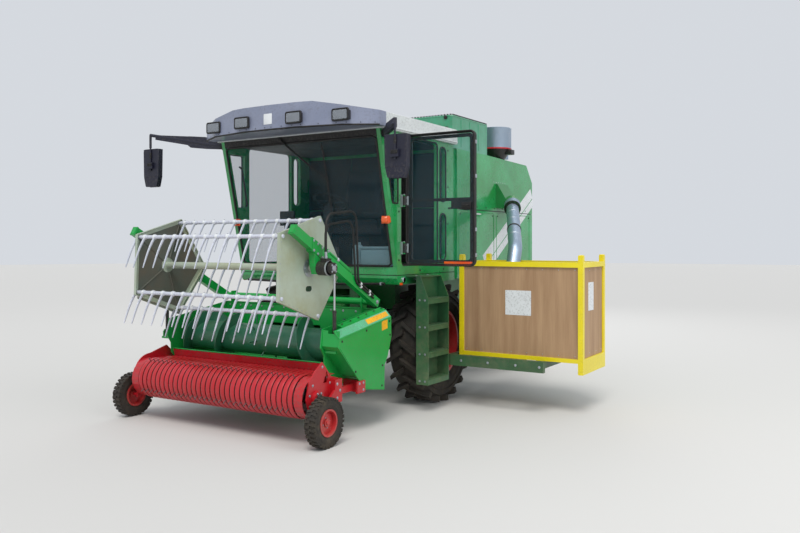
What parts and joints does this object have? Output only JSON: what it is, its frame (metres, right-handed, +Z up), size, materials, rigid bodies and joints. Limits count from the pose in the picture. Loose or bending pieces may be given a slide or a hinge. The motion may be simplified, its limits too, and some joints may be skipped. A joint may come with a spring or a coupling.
{
  "type": "seed harvester",
  "caption": "Compact plot combine with a pick-up header, tined reel, cab with open door, grain tank, seed cyclone and a side-carried collecting crate.",
  "frame": {"origin": "on the ground, midway between the front wheels, under the front axle's centre line", "axes": "+X towards the machine's left side, +Y towards its rear, +Z up; the header faces -Y"},
  "size_m": [4.845, 5.7398, 3.1498],
  "materials": {
    "frame_paint": "satin",
    "body_green": "satin",
    "panel_green": "gloss",
    "tank_green": "satin",
    "header_green": "satin",
    "auger_green": "worn",
    "bat_steel": "satin",
    "pickup_red": "satin",
    "rim_red": "satin",
    "crate_yellow": "satin",
    "plywood": "matte",
    "cab_glazing": "clear",
    "visor_grey": "satin",
    "black_plastic": "matte",
    "lamp_plastic": "gloss",
    "seat_fabric": "woven",
    "console_plastic": "matte",
    "engine_block": "cast",
    "duct_metal": "satin",
    "motor_black": "satin",
    "hose_rubber": "matte",
    "reel_grey": "satin",
    "bare_steel": "brushed",
    "cylinder_black": "satin",
    "chrome_rod": "polished",
    "tyre_rubber": "matte"
  },
  "bodies": {
    "machine": {"chassis": "frame_paint", "rear_axle": "frame_paint", "separator": "body_green", "engine": "engine_block", "body_panels": "panel_green", "rear_hood": "panel_green", "grain_tank": "tank_green", "cyclone": "duct_metal", "discharge_chute": "body_green", "discharge_tube": "duct_metal", "cab_frame": "panel_green", "cab_glass": "cab_glazing", "cab_visor": "visor_grey", "cab_roof": "panel_green", "work_lamps": "lamp_plastic", "seat": "seat_fabric", "console": "console_plastic", "ladder": "frame_paint", "mirrors": "black_plastic", "crate_frame": "crate_yellow", "crate_panels": "plywood", "carrier": "frame_paint"},
    "header": {"feeder_house": "body_green", "header_trough": "header_green", "header_sides": "header_green", "header_drive": "motor_black", "pickup_frame": "pickup_red", "pickup_bands": "pickup_red"},
    "reel_frame": {"reel_arms": "header_green", "reel_motor": "motor_black", "reel_hose": "hose_rubber"},
    "reel": {"reel_core": "reel_grey"},
    "eccentric_ring": {"reel_ring": "reel_grey"},
    "feed_auger": {"auger": "auger_green"},
    "pickup": {"pickup_rotor": "bare_steel"},
    "front_wheel_left": {"front_tyre_left": "tyre_rubber", "front_rim_left": "rim_red"},
    "front_wheel_right": {"front_tyre_right": "tyre_rubber", "front_rim_right": "rim_red"},
    "steer_left": {"knuckle_left": "frame_paint"},
    "steer_right": {"knuckle_right": "frame_paint"},
    "rear_wheel_left": {"rear_tyre_left": "tyre_rubber", "rear_rim_left": "rim_red"},
    "rear_wheel_right": {"rear_tyre_right": "tyre_rubber", "rear_rim_right": "rim_red"},
    "gauge_wheel_left": {"gauge_tyre_left": "tyre_rubber", "gauge_rim_left": "rim_red"},
    "gauge_wheel_right": {"gauge_tyre_right": "tyre_rubber", "gauge_rim_right": "rim_red"},
    "cab_door": {"door_frame": "black_plastic", "door_glass": "cab_glazing"},
    "header_barrel": {"header_barrels": "cylinder_black"},
    "header_rod": {"header_rods": "chrome_rod"},
    "reel_barrel": {"reel_barrels": "cylinder_black"},
    "reel_rod": {"reel_rods": "chrome_rod"},
    "bat_1": {"reel_bat_1": "bat_steel"},
    "bat_2": {"reel_bat_2": "bat_steel"},
    "bat_3": {"reel_bat_3": "bat_steel"},
    "bat_4": {"reel_bat_4": "bat_steel"},
    "bat_5": {"reel_bat_5": "bat_steel"}
  },
  "joints": [
    {"name": "header_lift", "type": "hinge", "parent": "machine", "child": "header", "pos_m": [0, -0.38, 1.05], "axis": [-1, 0, 0], "range_deg": [0, 12]},
    {"name": "reel_lift", "type": "hinge", "parent": "header", "child": "reel_frame", "pos_m": [0, -1.15, 1.13], "axis": [-1, 0, 0], "range_deg": [0, 15]},
    {"name": "reel_spin", "type": "hinge", "parent": "reel_frame", "child": "reel", "pos_m": [0, -2.037, 1.475], "axis": [1, 0, 0], "continuous": true},
    {"name": "bat_1_turn", "type": "hinge", "parent": "reel", "child": "bat_1", "pos_m": [0, -1.88651, 1.88847], "axis": [1, 0, 0], "continuous": true},
    {"name": "bat_2_turn", "type": "hinge", "parent": "reel", "child": "bat_2", "pos_m": [0, -2.38373, 1.74589], "axis": [1, 0, 0], "continuous": true},
    {"name": "bat_3_turn", "type": "hinge", "parent": "reel", "child": "bat_3", "pos_m": [0, -2.40178, 1.22896], "axis": [1, 0, 0], "continuous": true},
    {"name": "bat_4_turn", "type": "hinge", "parent": "reel", "child": "bat_4", "pos_m": [0, -1.91572, 1.05204], "axis": [1, 0, 0], "continuous": true},
    {"name": "bat_5_turn", "type": "hinge", "parent": "reel", "child": "bat_5", "pos_m": [0, -1.59727, 1.45964], "axis": [1, 0, 0], "continuous": true},
    {"name": "ring_spin", "type": "hinge", "parent": "reel_frame", "child": "eccentric_ring", "pos_m": [0, -1.985, 1.427], "axis": [1, 0, 0], "continuous": true},
    {"name": "auger_spin", "type": "hinge", "parent": "header", "child": "feed_auger", "pos_m": [0, -1.62, 0.76], "axis": [1, 0, 0], "continuous": true},
    {"name": "pickup_spin", "type": "hinge", "parent": "header", "child": "pickup", "pos_m": [0, -2.15, 0.39], "axis": [1, 0, 0], "continuous": true},
    {"name": "front_wheel_left_spin", "type": "hinge", "parent": "machine", "child": "front_wheel_left", "pos_m": [0.925, 0, 0.63], "axis": [1, 0, 0], "continuous": true},
    {"name": "front_wheel_right_spin", "type": "hinge", "parent": "machine", "child": "front_wheel_right", "pos_m": [-0.925, 0, 0.63], "axis": [1, 0, 0], "continuous": true},
    {"name": "steer_left_turn", "type": "hinge", "parent": "machine", "child": "steer_left", "pos_m": [0.56, 2.5, 0.4], "axis": [0, 0, 1], "range_deg": [-35, 35]},
    {"name": "steer_right_turn", "type": "hinge", "parent": "machine", "child": "steer_right", "pos_m": [-0.56, 2.5, 0.4], "axis": [0, 0, 1], "range_deg": [-35, 35]},
    {"name": "rear_wheel_left_spin", "type": "hinge", "parent": "steer_left", "child": "rear_wheel_left", "pos_m": [0.8, 2.5, 0.4], "axis": [1, 0, 0], "continuous": true},
    {"name": "rear_wheel_right_spin", "type": "hinge", "parent": "steer_right", "child": "rear_wheel_right", "pos_m": [-0.8, 2.5, 0.4], "axis": [1, 0, 0], "continuous": true},
    {"name": "gauge_wheel_left_spin", "type": "hinge", "parent": "header", "child": "gauge_wheel_left", "pos_m": [1.175, -2.2, 0.21], "axis": [1, 0, 0], "continuous": true},
    {"name": "gauge_wheel_right_spin", "type": "hinge", "parent": "header", "child": "gauge_wheel_right", "pos_m": [-1.175, -2.2, 0.21], "axis": [1, 0, 0], "continuous": true},
    {"name": "cab_door_turn", "type": "hinge", "parent": "machine", "child": "cab_door", "pos_m": [1.072, -0.78, 2.1], "axis": [0, 0, 1], "range_deg": [0, 90]},
    {"name": "header_barrel_turn", "type": "hinge", "parent": "machine", "child": "header_barrel", "pos_m": [0, -0.12, 0.62], "axis": [-1, 0, 0], "range_deg": [-1, 10.5]},
    {"name": "header_rod_slide", "type": "slide", "parent": "header_barrel", "child": "header_rod", "axis": [0, -0.9899, -0.1421], "range_m": [-0.005, 0.098]},
    {"name": "reel_barrel_turn", "type": "hinge", "parent": "header", "child": "reel_barrel", "pos_m": [0, -1.89, 0.8], "axis": [-1, 0, 0], "range_deg": [-1, 8.7]},
    {"name": "reel_rod_slide", "type": "slide", "parent": "reel_barrel", "child": "reel_rod", "axis": [0, 0, 1], "range_m": [-0.005, 0.193]}
  ],
  "couplings": [
    {"joint": "bat_1_turn", "follows": "reel_spin", "ratio": -1},
    {"joint": "bat_2_turn", "follows": "reel_spin", "ratio": -1},
    {"joint": "bat_3_turn", "follows": "reel_spin", "ratio": -1},
    {"joint": "bat_4_turn", "follows": "reel_spin", "ratio": -1},
    {"joint": "bat_5_turn", "follows": "reel_spin", "ratio": -1},
    {"joint": "ring_spin", "follows": "reel_spin", "ratio": 1},
    {"joint": "steer_right_turn", "follows": "steer_left_turn", "ratio": 1},
    {"joint": "header_barrel_turn", "follows": "header_lift", "ratio": 0.7923},
    {"joint": "header_rod_slide", "follows": "header_lift", "m_per_rad": 0.4461},
    {"joint": "reel_barrel_turn", "follows": "reel_lift", "ratio": 0.5115},
    {"joint": "reel_rod_slide", "follows": "reel_lift", "m_per_rad": 0.7197}
  ]
}
